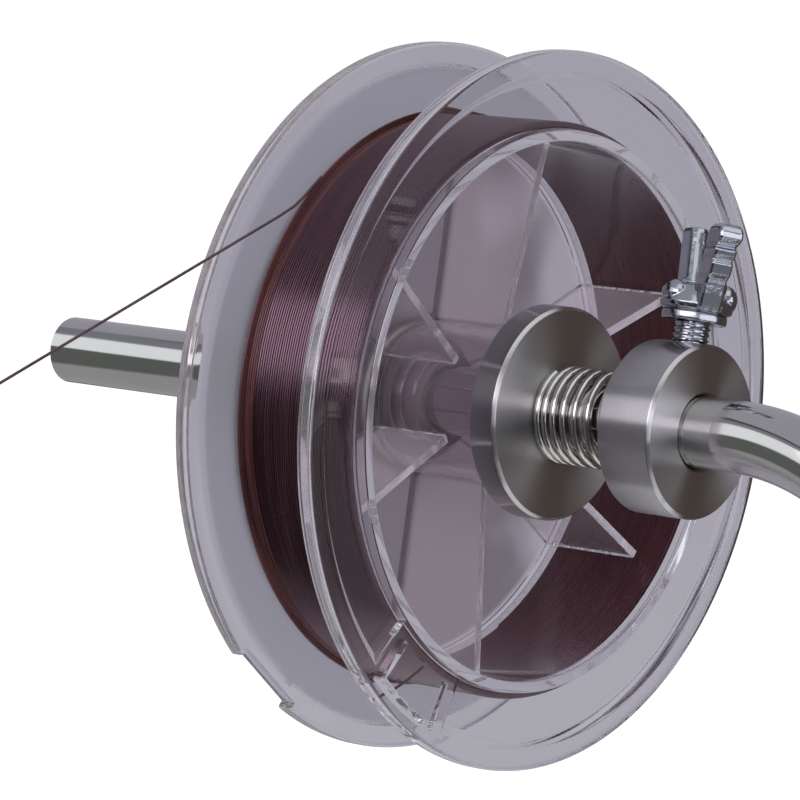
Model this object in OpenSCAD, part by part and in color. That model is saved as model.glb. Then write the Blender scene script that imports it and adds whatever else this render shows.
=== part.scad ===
// Line winder: a clear spool of line that turns on a bent steel rod.
// A sprung pressure disc and a clamped collar brake the spool.
// All sizes are in millimetres. The origin is the middle of the leg's lower end, +Z is up,
// and the shaft runs along X. Clock angles are measured about the shaft, from straight down
// and turning towards +Y.

/* [Rod] */
// Diameter of the bent rod
rod_d = 10; // [8:0.5:12]
// Centre-line radius of the bend
bend_r = 35; // [25:1:45]
// Straight leg under the bend
leg_l = 75; // [60:1:100]
// Shaft between the bend and the front face of the spool
front_l = 32.65; // [31:0.05:45]
// Shaft behind the rear face of the spool
tail_l = 69.8; // [50:0.2:90]

/* [Spool] */
// Width of the spool over both rims
spool_w = 24.5; // [22:0.5:28]
// Outer diameter of the barrel
barrel_d = 79; // [76:0.2:90]
// Wall of the barrel
barrel_wall = 1.6; // [1.2:0.1:2]
// Depth of the winding groove, from the barrel to the edge of the flanges
winding_depth = 11.05; // [9.5:0.05:14]
// Thickness of the flange discs and the web
flange_t = 1.2; // [1:0.1:1.6]
// Thickness of the flange rims
rim_t = 2.5; // [2.2:0.1:3]
// Width of the flat top of a rim
rim_w = 2.9; // [2:0.1:3]
// Width of the slope at the foot of a rim
rim_slope = 1.3; // [0.6:0.1:1.5]
// Rounding of the outer edge of a rim
rim_edge = 0.7; // [0.3:0.1:0.9]

/* [Spool hub] */
// Outer diameter of the hub tube
hub_d = 22; // [19:0.5:26]
// Wall of the hub tube
hub_wall = 1.4; // [1:0.1:2]
// Outer diameter of the short sleeve that runs on the rod
sleeve_d = 14; // [13.5:0.5:16]
// Length of the sleeve from the rear face of the spool
sleeve_l = 6; // [3:0.5:12]
// Number of ribs between the hub tube and the barrel
rib_count = 6; // [3:1:8]
// Thickness of a rib
rib_t = 1.3; // [1:0.1:2]
// Clock angle of the first rib
rib_angle = 48.5; // [0:0.5:60]
// Depth of the ribs' front edge behind the front rim, at the barrel
rib_drop = 7; // [5:0.5:9]
// Extra depth of the ribs' front edge at the hub
rib_fall = 3.2; // [1:0.2:5]

/* [Line clip] */
// Clock angle of the open slit
slit_angle = -48.2; // [-60:0.2:-40]
// Clock angle of the blind groove
groove_angle = -33; // [-34:0.5:-28]
// Width of the slit
slit_w = 1; // [0.8:0.1:1.4]
// Length of the slit and of the groove
slit_l = 7; // [6:0.2:7]
// Clock angle of the thumb notch in the rear rim
notch_angle = -44.2; // [-60:0.2:-30]
// Width of the thumb notch
notch_w = 13.4; // [8:0.2:16]
// Depth of the thumb notch
notch_depth = 1.75; // [1:0.05:2.2]

/* [Line] */
// Diameter of the line
line_d = 0.4; // [0.35:0.01:0.4]
// Turns of the outer layer
line_turns = 18; // [10:1:19]
// Gap between the last turn of the outer layer and the front flange
line_side_gap = 0.3; // [0.2:0.05:0.6]
// Depth of the layers under the outer one
core_t = 0.5; // [0.4:0.1:0.9]
// Strip of the lower layers left bare beside the rear flange
core_strip = 2.5; // [1.6:0.1:2.6]

/* [Brake] */
// Diameter of the pressure disc
disc_d = 30; // [26:1:40]
// Thickness of the pressure disc
disc_t = 4.7; // [3:0.1:6]
// Depth of the disc's rear face behind the front face of the spool
disc_inset = 2.8; // [1:0.1:4]
// Length of the spring between the disc and the collar
spring_l = 15.35; // [15:0.05:17]
// Outer diameter of the spring
spring_d = 14; // [13.5:0.1:16]
// Diameter of the spring wire
wire_d = 1.1; // [0.8:0.05:1.12]
// Curls of the spring
spring_turns = 7; // [5:1:7]
// Step between the two curls next to the disc
spring_pitch = 1.55; // [1.55:0.01:1.7]

/* [Collars] */
// Diameter of the collars
collar_d = 24; // [20:0.5:28]
// Length of the collars
collar_l = 9; // [8:0.5:10]
// Chamfer on the collars and on the disc
steel_edge = 0.55; // [0.2:0.05:0.8]
// Chamfer at the mouth of the tension collar's bore
mouth_edge = 0.45; // [0.2:0.05:0.8]
// Diameter of the thrust washer behind the spool
washer_d = 22; // [18:0.5:26]
// Thickness of the thrust washer
washer_t = 1; // [0.6:0.1:2]

/* [Wing bolt] */
// Thread diameter of the wing bolt
bolt_d = 5; // [4:0.5:6]
// Thread pitch of the wing bolt
bolt_pitch = 0.8; // [0.7:0.1:1]
// Thread that shows between the collar and the washer
bolt_show = 2.8; // [2:0.1:4]
// Lean of the bolt from upright
bolt_lean = 15; // [0:1:30]
// Diameter of the bolt's washer
head_washer_d = 9; // [8.5:0.1:11]
// Thickness of the bolt's washer
head_washer_t = 1.3; // [0.8:0.1:2]
// Diameter of the wing head's body
head_d = 11; // [9:0.2:12]
// Height of the wing head's body
head_h = 4.7; // [4.4:0.1:7]
// Height of the wing tips over the foot of the body
wing_h = 12.1; // [10:0.1:16]
// Reach of the wing tips from the bolt's axis
wing_reach = 9.6; // [8:0.1:12]
// Thickness of a wing
wing_t = 2.8; // [2:0.1:3.5]
// Turn of the wings about the bolt, from the shaft's direction
wing_turn = -33.5; // [-90:0.5:90]

/* [Hidden] */
$fn = 96;

// Clearances and overruns
run_gap = 0.08; // radial, between the rod and what turns or slides on it
face_gap = 0.15; // axial, between the spool and what presses on it
thread_gap = 0.05; // radial, round the threads
fit_gap = 0.03; // radial, round the snapped-on flange and the pressed-in stud
lay_gap = 0.05; // between the outer layer of line and the layers under it
cut = 0.5; // overrun of every cut

// Places along the shaft
shaft_h = leg_l + bend_r;
front_x = -bend_r - front_l;
rear_x = front_x - spool_w;
rod_end_x = rear_x - tail_l;
disc_x = front_x - disc_inset;
spring_x = disc_x + disc_t;
collar_x = spring_x + spring_l;
washer_x = rear_x - face_gap - washer_t;
rear_collar_x = washer_x - collar_l;

// Radii
rod_r = rod_d / 2;
bore_r = rod_r + run_gap;
barrel_r = barrel_d / 2;
barrel_in_r = barrel_r - barrel_wall;
flange_r = barrel_r + winding_depth;
hub_r = hub_d / 2;
groove_w = spool_w - 2 * rim_t;
core_r = barrel_r + core_t;
line_pitch = (groove_w - core_strip - line_d - line_side_gap) / line_turns;
layer_steps = 24; // rings to a turn of the outer layer
layer_r = (core_r + lay_gap + line_d / 2) / cos(180 / layer_steps); // clears the core between rings
bolt_r = bolt_d / 2;
collar_r = collar_d / 2;

// Wing bolt heights over the shaft's axis
washer_h = collar_r + bolt_show;
head_foot_h = washer_h + head_washer_t;
stud_depth_share = 0.78; // of the head's body, taken up by the stud
stud_top_h = head_foot_h + head_h * stud_depth_share;
thread_depth_share = 0.3; // of the pitch, from crest to root on each side

// Free line: points from the spool to the knot, in X, Y and Z
line_x = -89.15;
line_route = [[line_x, -23.98, 143.5], [line_x, -25.6, 142.4], [line_x, -27.5, 141.1],
    [line_x, -29.6, 139.9], [line_x, -32.6, 138.82], [line_x, -50, 133.31],
    [line_x, -68, 127.61], [line_x, -88.6, 121.09]];
loop_r = 4;
knot_r = 0.75;
knot_l = 2.4;

// Places on the shaft: local z runs along +X, and local x points straight down
module on_shaft(x) {
    translate([x, 0, shaft_h]) rotate([0, 90, 0]) children();
}

// Places on the wing bolt: local z runs outward along the bolt
module on_bolt() {
    translate([collar_x + collar_l / 2, 0, shaft_h]) rotate([-bolt_lean, 0, 0]) children();
}

// Round body with a bore and chamfered outer edges
module turned(outer_r, inner_r, length, edge) {
    rotate_extrude() polygon([[inner_r, 0], [outer_r - edge, 0], [outer_r, edge],
        [outer_r, length - edge], [outer_r - edge, length], [inner_r, length]]);
}

// Points of a quarter arc
function arc(x, y, r, from, steps = 5) =
    [for (i = [0:steps]) [x + r * cos(from + 90 * i / steps), y + r * sin(from + 90 * i / steps)]];

// Flange with a raised and rounded rim; its inner face is at local z = 0
module flange_ring(inner_r) {
    rotate_extrude($fn = 180) polygon(concat(
        [[inner_r, 0]],
        arc(flange_r - rim_edge, rim_edge, rim_edge, -90),
        arc(flange_r - rim_edge, rim_t - rim_edge, rim_edge, 0),
        [[flange_r - rim_w, rim_t], [flange_r - rim_w - rim_slope, flange_t], [inner_r, flange_t]]));
}

// Wedge between two clock angles, from the axis out past the rim
module wedge(from, to, height) {
    reach = flange_r * 1.2;
    linear_extrude(height) polygon([[0, 0], for (i = [0:4])
        let (a = from + (to - from) * i / 4) [reach * cos(a), reach * sin(a)]]);
}

// Closed tube along points; refs holds one side direction for each point
function unit(v) = v / norm(v);
function heading(points, i) =
    unit(points[min(i + 1, len(points) - 1)] - points[max(i - 1, 0)]);
function square_to(v, t) = unit(v - (v * t) * t);
module tube_along(points, refs, r, sides) {
    last = len(points) - 1;
    rings = [for (i = [0:last])
        let (t = heading(points, i), n = square_to(refs[i], t), b = cross(t, n))
        for (k = [0:sides - 1]) points[i] + r * (cos(360 * k / sides) * n + sin(360 * k / sides) * b)];
    walls = [for (i = [0:last - 1], k = [0:sides - 1])
        let (a = i * sides + k, b = i * sides + (k + 1) % sides)
        for (f = [[a, a + sides, b], [b, a + sides, b + sides]]) f];
    caps = [for (k = [1:sides - 2])
        for (f = [[0, k, k + 1], [last * sides, last * sides + k + 1, last * sides + k]]) f];
    polyhedron(rings, concat(walls, caps));
}

// Least gap between turns of a wound tube, measured on the points of its centre line
function wound_gap(points, d, per_turn) = min([for (i = [0:len(points) - 1])
    for (j = [i + round(per_turn / 2):min(i + 2 * per_turn, len(points) - 1)])
        norm(points[i] - points[j])]) - d;

// Outer layer of line: a helix round the shaft, with straight ends
layer_start_x = rear_x + rim_t + core_strip + line_d / 2;
layer_angle = 140;
function layer_dir(a) = [0, sin(a), -cos(a)];
function layer_point(i) =
    let (a = layer_angle + 360 * i / layer_steps)
    [layer_start_x + line_pitch * i / layer_steps, 0, shaft_h] + layer_r * layer_dir(a);
layer_last = line_turns * layer_steps;
layer_body = [for (i = [0:layer_last]) layer_point(i)];
layer_points = concat(
    [layer_body[0] - line_d * unit(layer_body[1] - layer_body[0])],
    layer_body,
    [layer_body[layer_last] + line_d * unit(layer_body[layer_last] - layer_body[layer_last - 1])]);
layer_refs = [for (p = layer_points) unit([0, p[1], p[2] - shaft_h])];

// Spring: a helix that opens towards the collar, with its ends square to the disc and the collar
spring_steps = 8;
spring_r = (spring_d - wire_d) / 2;
spring_angle = 200;
coil_l = spring_l - 2 * wire_d - 2 * face_gap;
pitch_growth = 2 * (coil_l - spring_turns * spring_pitch) / pow(spring_turns, 2);
function spring_travel(t) = spring_pitch * t + pitch_growth * t * t / 2;
function spring_point(i) =
    let (t = i / spring_steps)
    [spring_x + face_gap + wire_d + spring_travel(t), 0, shaft_h]
        + spring_r * layer_dir(spring_angle + 360 * t);
spring_last = spring_turns * spring_steps;
spring_points = concat(
    [spring_point(0) - [wire_d, 0, 0]],
    [for (i = [0:spring_last]) spring_point(i)],
    [spring_point(spring_last) + [wire_d, 0, 0]]);
spring_refs = [for (p = spring_points) unit([0, p[1], p[2] - shaft_h])];

echo(layer_gap = wound_gap(layer_points, line_d, layer_steps));
echo(spring_gap = wound_gap(spring_points, wire_d, spring_steps));

// Tucked end of the line: shares of the groove's depth and clock angles, hand-placed
tuck_depth_shares = [0.02, 0.17, 0.36, 0.55, 0.78];
tuck_angles = [-38, -39.2, -40.6, -42.2, -44.3];
tuck_inset = 0.7;
function tuck_point(i) =
    [front_x - rim_t - tuck_inset, 0, shaft_h]
        + (layer_r + line_d + (flange_r - layer_r) * tuck_depth_shares[i]) * layer_dir(tuck_angles[i]);
tuck_points = [for (i = [0:len(tuck_angles) - 1]) tuck_point(i)];

module bent_rod() {
    color("silver") {
        on_shaft(rod_end_x) cylinder(d = rod_d, h = -bend_r - rod_end_x);
        translate([-bend_r, 0, leg_l]) rotate([90, 0, 0])
            rotate_extrude(angle = 90) translate([bend_r, 0]) circle(d = rod_d);
        cylinder(d = rod_d, h = leg_l);
    }
}

module rear_stop_collar() {
    color("gainsboro") difference() {
        on_shaft(rear_collar_x) turned(collar_r, bore_r, collar_l, steel_edge);
        translate([rear_collar_x + collar_l / 2, 0, shaft_h])
            cylinder(r = bolt_r + thread_gap, h = collar_r + cut);
    }
}

grub_l = collar_r - rod_r - 1.6 * steel_edge;
module rear_grub_screw() {
    socket_d = bolt_d * 0.55;
    socket_l = grub_l * 0.5;
    color("dimgray") translate([rear_collar_x + collar_l / 2, 0, shaft_h + rod_r + thread_gap])
        difference() {
            cylinder(r = bolt_r, h = grub_l);
            translate([0, 0, grub_l - socket_l]) cylinder(d = socket_d, h = socket_l + cut, $fn = 6);
        }
}

module rear_thrust_washer() {
    color("ivory") on_shaft(washer_x)
        turned(washer_d / 2, bore_r, washer_t, washer_t / 5);
}

module spool_rear_flange() {
    color("lavender") difference() {
        on_shaft(rear_x + rim_t) mirror([0, 0, 1]) flange_ring(barrel_r);
        on_shaft(rear_x - cut) rotate([0, 0, notch_angle])
            translate([flange_r - notch_depth, -notch_w / 2, 0])
                cube([2 * notch_depth, notch_w, rim_t + 2 * cut]);
    }
}

module spool_barrel() {
    color("thistle") on_shaft(rear_x)
        turned(barrel_r, barrel_in_r, spool_w, barrel_wall / 5);
}

module spool_web() {
    color("plum") on_shaft(rear_x) rotate_extrude() polygon([[bore_r, 0], [barrel_in_r, 0],
        [barrel_in_r, flange_t], [sleeve_d / 2, flange_t], [sleeve_d / 2, sleeve_l], [bore_r, sleeve_l]]);
}

hub_l = spool_w - flange_t - disc_inset - face_gap;
module spool_hub_tube() {
    color("violet") on_shaft(rear_x + flange_t)
        turned(hub_r, hub_r - hub_wall, hub_l, hub_wall / 5);
}

module spool_ribs() {
    rib_back = flange_t;
    rib_top = spool_w - rib_drop;
    color("orchid") on_shaft(rear_x) intersection() {
        for (i = [0:rib_count - 1]) rotate([90, 0, rib_angle + 360 * i / rib_count])
            translate([0, 0, -rib_t / 2]) linear_extrude(rib_t)
                polygon([[hub_r - cut, rib_back], [barrel_in_r + cut, rib_back],
                    [barrel_in_r + cut, rib_top], [barrel_in_r, rib_top],
                    [hub_r, rib_top - rib_fall], [hub_r - cut, rib_top - rib_fall]]);
        difference() {
            cylinder(r = barrel_in_r, h = spool_w);
            translate([0, 0, -cut]) cylinder(r = hub_r, h = spool_w + 2 * cut);
        }
    }
}

// Raised pad of the clip, as far as the foot of the rim
module clip_pad() {
    pad_side = 3.4;
    intersection() {
        wedge(slit_angle - pad_side, groove_angle + pad_side, rim_t);
        difference() {
            cylinder(r = flange_r - rim_w / 2, h = rim_t);
            translate([0, 0, -cut]) cylinder(r = barrel_r + fit_gap, h = rim_t + 2 * cut);
        }
    }
}

// Slit that frees the tongue: straight out, then round under the rim
module clip_slit() {
    slit_start = barrel_r + 2 * slit_w;
    slit_end = slit_start + slit_l;
    translate([0, 0, -cut]) {
        rotate([0, 0, slit_angle]) translate([slit_start, -slit_w / 2, 0])
            cube([slit_end - slit_start, slit_w, rim_t + 2 * cut]);
        intersection() {
            wedge(slit_angle, groove_angle - slit_w, rim_t + 2 * cut);
            difference() {
                cylinder(r = slit_end, h = rim_t + 2 * cut);
                translate([0, 0, -cut]) cylinder(r = slit_end - slit_w, h = rim_t + 4 * cut);
            }
        }
    }
}

module clip_groove() {
    groove_depth = rim_t / 3;
    rotate([0, 0, groove_angle]) translate([barrel_r + 2 * slit_w, -slit_w / 2, rim_t - groove_depth])
        cube([slit_l, slit_w, groove_depth + cut]);
}

module spool_front_flange() {
    color("lightsteelblue") on_shaft(front_x - rim_t) difference() {
        union() {
            flange_ring(barrel_r + fit_gap);
            clip_pad();
        }
        clip_slit();
        clip_groove();
    }
}

module line_core() {
    color("saddlebrown") on_shaft(rear_x + rim_t)
        turned(core_r, barrel_r, groove_w, core_t / 4);
}

module line_top_layer() {
    color("maroon") tube_along(layer_points, layer_refs, line_d / 2, 6);
}

module line_tucked_end() {
    color("maroon") tube_along(tuck_points, [for (p = tuck_points) [1, 0, 0]], line_d / 2, 8);
}

module free_line() {
    color("maroon") tube_along(line_route, [for (p = line_route) [1, 0, 0]], line_d / 2, 8);
}

module line_end_loop() {
    tip = line_route[len(line_route) - 1];
    along = heading(line_route, len(line_route) - 1);
    color("maroon") translate(tip) rotate([atan2(-along[1], along[2]), 0, 0]) {
        cylinder(r = knot_r, h = knot_l);
        translate([0, 0, knot_l + loop_r]) rotate([0, 90, 0])
            rotate_extrude() translate([loop_r, 0]) circle(d = line_d, $fn = 24);
    }
}

module pressure_disc() {
    color("silver") on_shaft(disc_x) turned(disc_d / 2, bore_r, disc_t, steel_edge);
}

module tension_spring() {
    color("lightgray") tube_along(spring_points, spring_refs, wire_d / 2, 6);
}

module tension_collar() {
    color("gainsboro") difference() {
        on_shaft(collar_x) turned(collar_r, bore_r, collar_l, steel_edge);
        on_shaft(collar_x + collar_l - mouth_edge)
            cylinder(r1 = bore_r, r2 = bore_r + 2 * mouth_edge, h = 2 * mouth_edge);
        on_bolt() cylinder(r = bolt_r + thread_gap, h = collar_r + cut);
    }
}

// Threaded stud: its ridges are rings, one to each step of the thread
module wing_bolt_stud() {
    foot = rod_r + thread_gap;
    ridges = floor((stud_top_h - foot) / bolt_pitch);
    root_r = bolt_r - bolt_pitch * thread_depth_share;
    color("lightsteelblue") on_bolt() rotate_extrude($fn = 48) polygon(concat(
        [[0, foot], [root_r, foot]],
        [for (i = [0:ridges - 1], step = [[0.5, bolt_r], [1, root_r]])
            [step[1], foot + (i + step[0]) * bolt_pitch]],
        [[root_r, stud_top_h], [0, stud_top_h]]));
}

module wing_bolt_washer() {
    color("silver") on_bolt() translate([0, 0, washer_h])
        turned(head_washer_d / 2, bolt_r + run_gap, head_washer_t, head_washer_t / 5);
}

// Wing on one side of the head: a flat, rounded plate that leans outward
module wing() {
    root_r = head_h * 0.5;
    tip_r = wing_t * 0.8;
    rotate([90, 0, 0]) translate([0, 0, -wing_t / 2]) hull() {
        translate([head_d / 2 - root_r, root_r]) cylinder(r = root_r, h = wing_t, $fn = 32);
        translate([wing_reach - tip_r, wing_h - tip_r]) cylinder(r = tip_r, h = wing_t, $fn = 32);
        translate([wing_reach - 2.2 * tip_r, wing_h - 1.2 * tip_r]) cylinder(r = tip_r, h = wing_t, $fn = 32);
    }
}

module wing_bolt_wings() {
    crown_r = head_d * 0.36;
    hole_h = stud_top_h - head_foot_h;
    color("lightsteelblue") on_bolt() translate([0, 0, head_foot_h]) difference() {
        union() {
            rotate_extrude() polygon([[0, 0], [head_d * 0.4, 0], [head_d / 2, head_h * 0.25],
                [head_d / 2, head_h * 0.45], [crown_r, head_h], [0, head_h]]);
            for (side = [0, 180]) rotate([0, 0, wing_turn + side]) wing();
        }
        translate([0, 0, -cut]) cylinder(r = bolt_r + fit_gap, h = hole_h + cut);
    }
}

bent_rod();
rear_stop_collar();
rear_grub_screw();
rear_thrust_washer();
spool_rear_flange();
spool_barrel();
spool_web();
spool_hub_tube();
spool_ribs();
spool_front_flange();
line_core();
line_top_layer();
line_tucked_end();
free_line();
line_end_loop();
pressure_disc();
tension_spring();
tension_collar();
wing_bolt_stud();
wing_bolt_washer();
wing_bolt_wings();
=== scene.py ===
"""Looks of the line winder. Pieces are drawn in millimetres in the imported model's frame, about a
shaft that runs along X, and are turned into metres when they are placed. Clock angles are measured
about the shaft, from straight down and turning towards +Y."""
import math
import random

import bmesh
import bpy
from mathutils import Matrix, Vector


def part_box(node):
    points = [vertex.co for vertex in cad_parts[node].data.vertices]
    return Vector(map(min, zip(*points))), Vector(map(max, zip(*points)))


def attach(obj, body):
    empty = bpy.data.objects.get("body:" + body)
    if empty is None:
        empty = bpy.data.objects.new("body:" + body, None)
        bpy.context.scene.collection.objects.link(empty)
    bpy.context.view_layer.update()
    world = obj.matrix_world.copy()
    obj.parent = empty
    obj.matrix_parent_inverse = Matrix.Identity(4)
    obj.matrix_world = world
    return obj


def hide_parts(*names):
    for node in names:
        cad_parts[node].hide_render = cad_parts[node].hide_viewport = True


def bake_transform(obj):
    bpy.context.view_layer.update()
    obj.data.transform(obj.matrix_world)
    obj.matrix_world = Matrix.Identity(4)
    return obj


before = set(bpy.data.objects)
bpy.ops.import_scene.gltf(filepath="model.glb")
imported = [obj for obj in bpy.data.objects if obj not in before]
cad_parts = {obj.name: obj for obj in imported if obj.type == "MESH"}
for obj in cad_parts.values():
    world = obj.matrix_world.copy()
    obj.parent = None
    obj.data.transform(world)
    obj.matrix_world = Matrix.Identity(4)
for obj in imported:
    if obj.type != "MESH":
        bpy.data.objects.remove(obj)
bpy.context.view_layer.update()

MM = 0.001
QUARTER = math.pi / 2
TURN = 2 * math.pi


# Sizes read from the frame, in millimetres
def low(node, axis):
    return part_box(node)[0][axis] / MM


def high(node, axis):
    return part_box(node)[1][axis] / MM


def radius(node):
    """Radius of a node that is round about the shaft."""
    return (high(node, 1) - low(node, 1)) / 2


# Places and sizes in millimetres: where one is typed, it repeats the CAD source's own value
SHAFT_Z = (low("pressure_disc", 2) + high("pressure_disc", 2)) / 2
ROD_R = (high("bent_rod", 1) - low("bent_rod", 1)) / 2
ROD_END_X = low("bent_rod", 0)
BEND_R = 35.0
REAR_X = low("spool_rear_flange", 0)
RIM_T = high("spool_rear_flange", 0) - REAR_X
FRONT_X = high("spool_front_flange", 0)
FLANGE_R = radius("spool_front_flange")
BARREL_R = radius("spool_barrel")
BARREL_WALL = 1.6
BARREL_IN = BARREL_R - BARREL_WALL
FLANGE_T = 1.2
RIM_W = 2.9
RIM_SLOPE = 1.3
HUB_R = radius("spool_hub_tube")
HUB_WALL = 1.4
HUB_END_X = high("spool_hub_tube", 0)
SLEEVE_R = 7.0
SLEEVE_END_X = high("spool_web", 0)
RUN_GAP = 0.08
BORE_R = ROD_R + RUN_GAP
LINE_R = 0.2
LINE_X = -89.15
DISC_X = low("pressure_disc", 0)
DISC_END_X = high("pressure_disc", 0)
COLLAR_X = low("tension_collar", 0)
COLLAR_END_X = high("tension_collar", 0)
COLLAR_R = radius("tension_collar")
BOLT_X = (COLLAR_X + COLLAR_END_X) / 2
BOLT_LEAN = math.radians(15)
TAPPED_R = 2.55

# How far cuts run past what they cut
OVERCUT = 1.0
LONG_CUT = 3.0


# Camera at the photograph's viewing angle
def make_camera():
    data = bpy.data.cameras.new("camera")
    data.lens = 202.5
    data.sensor_width = 36
    data.clip_start = 0.01
    camera = bpy.data.objects.new("camera", data)
    azimuth, elevation = math.radians(40.746), math.radians(8.898)
    camera.location = (0.32107, -0.48354, 0.20888)
    camera.rotation_euler = (QUARTER - elevation, 0, azimuth)
    bpy.context.scene.collection.objects.link(camera)
    bpy.context.scene.camera = camera


# Mesh helpers
def make(name, verts, faces, weld=0.0):
    """A mesh object in millimetres with its normals outward."""
    mesh = bpy.data.meshes.new(name)
    mesh.from_pydata([tuple(v) for v in verts], [], faces)
    work = bmesh.new()
    work.from_mesh(mesh)
    if weld:
        bmesh.ops.remove_doubles(work, verts=work.verts, dist=weld)
    bmesh.ops.recalc_face_normals(work, faces=work.faces)
    work.to_mesh(mesh)
    work.free()
    made = bpy.data.objects.new(name, mesh)
    bpy.context.scene.collection.objects.link(made)
    return made


def rounded(corners, steps=4):
    """A closed outline from corners given as x, r and fillet."""
    points = []
    for i, (x, r, fillet) in enumerate(corners):
        here = Vector((x, r))
        if not fillet:
            points.append(here)
            continue
        start = here + (Vector(corners[i - 1][:2]) - here).normalized() * fillet
        end = here + (Vector(corners[(i + 1) % len(corners)][:2]) - here).normalized() * fillet
        for k in range(steps + 1):
            t = k / steps
            points.append(start.lerp(here, t).lerp(here.lerp(end, t), t))
    return points


def clock(x, r, angle):
    """A point on the clock about the shaft."""
    return Vector((x, r * math.sin(angle), SHAFT_Z - r * math.cos(angle)))


def lathe(name, outline, segments=192):
    """A ring body about the shaft from a closed outline of x and r."""
    count = len(outline)
    verts = [clock(x, r, TURN * k / segments) for k in range(segments) for x, r in outline]
    faces = []
    for k in range(segments):
        a, b = k * count, (k + 1) % segments * count
        for i in range(count):
            j = (i + 1) % count
            faces.append((a + i, a + j, b + j, b + i))
    return make(name, verts, faces)


def tube_mesh(points, radii, sides, refs=None, closed=False):
    """Verts and faces of a tube along points; refs holds one side direction for each point."""
    count = len(points)
    if not hasattr(radii, "__len__"):
        radii = [radii] * count
    verts, side = [], None
    for i, point in enumerate(points):
        before = points[i - 1] if closed or i else points[0]
        after = points[(i + 1) % count] if closed or i < count - 1 else points[-1]
        along = (after - before).normalized()
        side = refs[i] if refs else (side or along.orthogonal())
        side = (side - side.dot(along) * along).normalized()
        other = along.cross(side)
        for k in range(sides):
            angle = TURN * k / sides
            verts.append(point + radii[i] * (math.cos(angle) * side + math.sin(angle) * other))
    faces = []
    for i in range(count if closed else count - 1):
        a, b = i * sides, (i + 1) % count * sides
        for k in range(sides):
            j = (k + 1) % sides
            faces.append((a + k, a + j, b + j, b + k))
    if not closed:
        faces.append(tuple(reversed(range(sides))))
        faces.append(tuple(range((count - 1) * sides, count * sides)))
    return verts, faces


def domed(points, radius):
    """Points and radii that round off both ends of a tube."""
    dome = [(0.0, 0.55), (0.35, 0.9), (1.0, 1.0)]
    start, end = points[0], points[-1]
    first = (points[1] - start).normalized()
    last = (end - points[-2]).normalized()
    head = [(start + first * radius * t, radius * share) for t, share in dome]
    tail = [(end - last * radius * t, radius * share) for t, share in reversed(dome)]
    body = [(p, radius) for p in points[1:-1]]
    rows = head + body + tail
    return [row[0] for row in rows], [row[1] for row in rows]


def slab(name, outline, thickness, to_world):
    """A plate from an outline of x and y, centred on its own z, placed by a matrix."""
    half = thickness / 2
    verts = [to_world @ Vector((x, y, z)) for z in (-half, half) for x, y in outline]
    count = len(outline)
    faces = [tuple(range(count)), tuple(range(count, 2 * count))]
    for i in range(count):
        j = (i + 1) % count
        faces.append((i, j, count + j, count + i))
    return make(name, verts, faces)


def bake(obj):
    """Applies the modifiers."""
    graph = bpy.context.evaluated_depsgraph_get()
    old = obj.data
    obj.data = bpy.data.meshes.new_from_object(obj.evaluated_get(graph))
    obj.modifiers.clear()
    bpy.data.meshes.remove(old)


def combine(target, tool, operation):
    modifier = target.modifiers.new("combine", "BOOLEAN")
    modifier.operation = operation
    modifier.solver = "EXACT"
    modifier.object = tool
    bake(target)
    bpy.data.objects.remove(tool)


def bevel(obj, width):
    modifier = obj.modifiers.new("bevel", "BEVEL")
    modifier.width = width
    modifier.segments = 2
    modifier.limit_method = "ANGLE"
    modifier.angle_limit = math.radians(35)
    bake(obj)


def join(name, objects):
    """One object from several meshes."""
    work = bmesh.new()
    for obj in objects:
        work.from_mesh(obj.data)
    mesh = bpy.data.meshes.new(name)
    work.to_mesh(mesh)
    work.free()
    for obj in objects:
        bpy.data.objects.remove(obj)
    made = bpy.data.objects.new(name, mesh)
    bpy.context.scene.collection.objects.link(made)
    return made


def settle(obj, material, nodes, body=None, sharp=35, flat=False):
    """Turns a piece into metres, shades it, dresses it and lets it ride on its body. A flat piece
    keeps its large faces flat up to their fillets."""
    if obj.type == "MESH":
        obj.data.transform(Matrix.Scale(MM, 4))
        obj.data.shade_smooth()
        obj.data.set_sharp_from_angle(angle=math.radians(sharp))
        if flat:
            weighted = obj.modifiers.new("weighted", "WEIGHTED_NORMAL")
            weighted.weight = 90
            weighted.keep_sharp = True
            bake(obj)
    obj.data.materials.clear()
    obj.data.materials.append(material)
    if body:
        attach(obj, body)
    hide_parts(*nodes)
    return obj


# Node helpers
def feed(tree, socket, value):
    """Links a socket to another node, or sets its own value."""
    if isinstance(value, bpy.types.NodeSocket):
        tree.links.new(value, socket)
    else:
        socket.default_value = value


def node(tree, kind, inputs=None, **settings):
    made = tree.nodes.new("ShaderNode" + kind)
    for key, value in settings.items():
        setattr(made, key, value)
    for key, value in (inputs or {}).items():
        feed(tree, made.inputs[key], value)
    return made


def calc(tree, operation, *values):
    made = node(tree, "Math", operation=operation)
    for socket, value in zip(made.inputs, values):
        feed(tree, socket, value)
    return made.outputs[0]


def remap(tree, value, start, end, to_start=0.0, to_end=1.0):
    inputs = {"Value": value, "From Min": start, "From Max": end, "To Min": to_start, "To Max": to_end}
    return node(tree, "MapRange", inputs, interpolation_type="SMOOTHSTEP").outputs[0]


def band(tree, value, start, end, soft):
    """1 between start and end, and 0 outside."""
    rise = remap(tree, value, start - soft, start + soft)
    fall = remap(tree, value, end - soft, end + soft, 1.0, 0.0)
    return calc(tree, "MULTIPLY", rise, fall)


def paint(tree, under, colour, mask):
    """Colour over another where the mask is 1."""
    made = node(tree, "Mix", data_type="RGBA")
    sockets = {socket.identifier: socket for socket in made.inputs}
    feed(tree, sockets["Factor_Float"], mask)
    feed(tree, sockets["A_Color"], under)
    feed(tree, sockets["B_Color"], colour)
    return next(socket for socket in made.outputs if socket.identifier == "Result_Color")


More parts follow.
